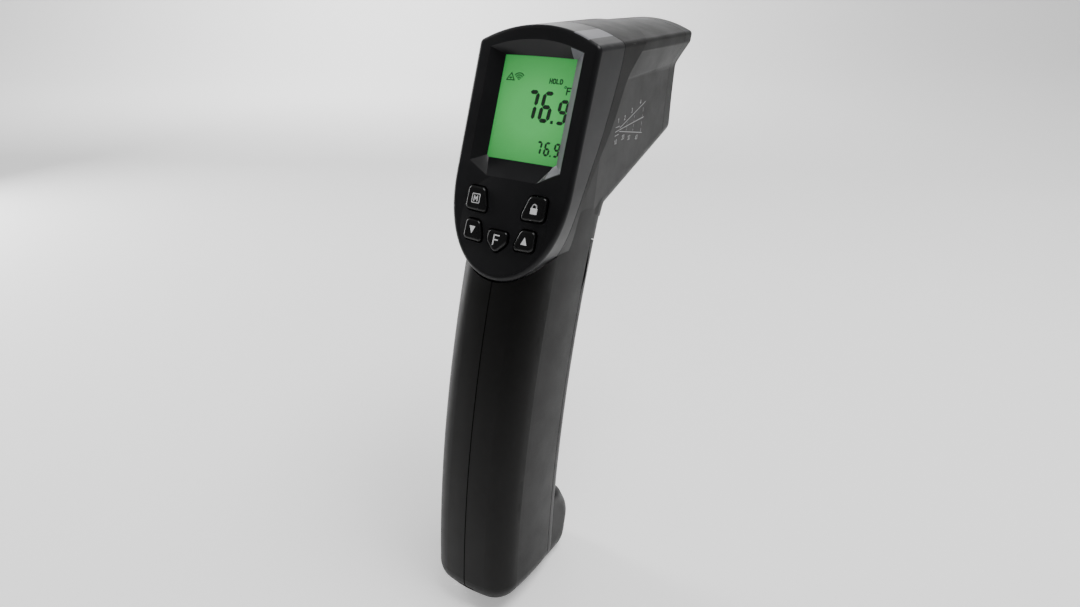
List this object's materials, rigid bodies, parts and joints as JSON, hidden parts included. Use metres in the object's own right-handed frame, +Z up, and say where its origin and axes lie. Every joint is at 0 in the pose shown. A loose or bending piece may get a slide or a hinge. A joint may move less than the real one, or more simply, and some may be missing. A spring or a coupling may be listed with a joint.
{
  "type": "infrared thermometer",
  "caption": "Pistol-grip infrared thermometer with an arched rear display, a keypad, a hooded optic, a pull trigger and a battery door in its grip.",
  "frame": {"origin": "mouth of the tripod bush in the middle of the grip's base", "axes": "+X to the right of the person holding it, +Y forward along the line of sight, +Z up"},
  "size_m": [0.0518, 0.1532, 0.2323],
  "materials": {
    "case": "fine matt texture",
    "bezel": "satin",
    "door": "fine matt texture",
    "keys": "soft matt",
    "trigger": "satin",
    "window": "clear",
    "lcd": "green backlit display",
    "diffuser": "translucent",
    "white_plastic": "plain",
    "board": "solder mask",
    "chip": "moulded epoxy",
    "silicone": "plain",
    "steel": "bright",
    "brass": "machined",
    "optic_black": "dull black",
    "lens": "coated",
    "laser_glass": "clear red",
    "battery_skin": "printed sleeve"
  },
  "bodies": {
    "case": {"right_shell": "case", "left_shell": "case", "case_screws": "steel", "rear_bezel": "bezel", "display_window": "window", "lcd_glass": "lcd", "lcd_frame": "white_plastic", "backlight_panel": "diffuser", "zebra_connectors": "silicone", "main_board": "board", "board_screws": "steel", "processor_chip": "chip", "buzzer": "chip", "keypad_mat": "silicone", "nose_bezel": "bezel", "laser_window": "laser_glass", "infrared_lens": "lens", "lens_ring": "optic_black", "optic_tube": "optic_black", "thermopile_sensor": "steel", "sensor_board": "board", "laser_module": "brass", "trigger_pin": "steel", "trigger_spring": "steel", "trigger_switch": "chip", "battery": "battery_skin", "battery_snap": "chip", "door_hinge_pin": "steel", "tripod_bush": "brass"},
    "trigger_lever": {"trigger": "trigger"},
    "plunger": {"switch_plunger": "white_plastic"},
    "door": {"battery_door": "door"},
    "mode_button": {"mode_key": "keys"},
    "lock_button": {"lock_key": "keys"},
    "down_button": {"down_key": "keys"},
    "up_button": {"up_key": "keys"},
    "function_button": {"function_key": "keys"}
  },
  "joints": [
    {"name": "trigger_pull", "type": "hinge", "parent": "case", "child": "trigger_lever", "pos_m": [0, 0.0547, 0.164], "axis": [-1, 0, 0], "range_deg": [0, 6], "stiffness_Nm_per_rad": 0.25, "springref_deg": -8.59, "deforming": ["trigger_spring"]},
    {"name": "switch_travel", "type": "slide", "parent": "case", "child": "plunger", "axis": [0, -1, 0], "range_m": [0, 0.0022]},
    {"name": "door_swing", "type": "hinge", "parent": "case", "child": "door", "pos_m": [0, 0.01074, 0.00049], "axis": [-1, 0, 0], "range_deg": [0, 85]},
    {"name": "mode_press", "type": "slide", "parent": "case", "child": "mode_button", "axis": [0, 0.9272, -0.3746], "range_m": [0, 0.0008], "stiffness_N_per_m": 400},
    {"name": "lock_press", "type": "slide", "parent": "case", "child": "lock_button", "axis": [0, 0.9272, -0.3746], "range_m": [0, 0.0008], "stiffness_N_per_m": 400},
    {"name": "down_press", "type": "slide", "parent": "case", "child": "down_button", "axis": [0, 0.9272, -0.3746], "range_m": [0, 0.0008], "stiffness_N_per_m": 400},
    {"name": "up_press", "type": "slide", "parent": "case", "child": "up_button", "axis": [0, 0.9272, -0.3746], "range_m": [0, 0.0008], "stiffness_N_per_m": 400},
    {"name": "function_press", "type": "slide", "parent": "case", "child": "function_button", "axis": [0, 0.9272, -0.3746], "range_m": [0, 0.0008], "stiffness_N_per_m": 400}
  ],
  "couplings": [
    {"joint": "switch_travel", "follows": "trigger_pull", "m_per_rad": 0.0205}
  ]
}
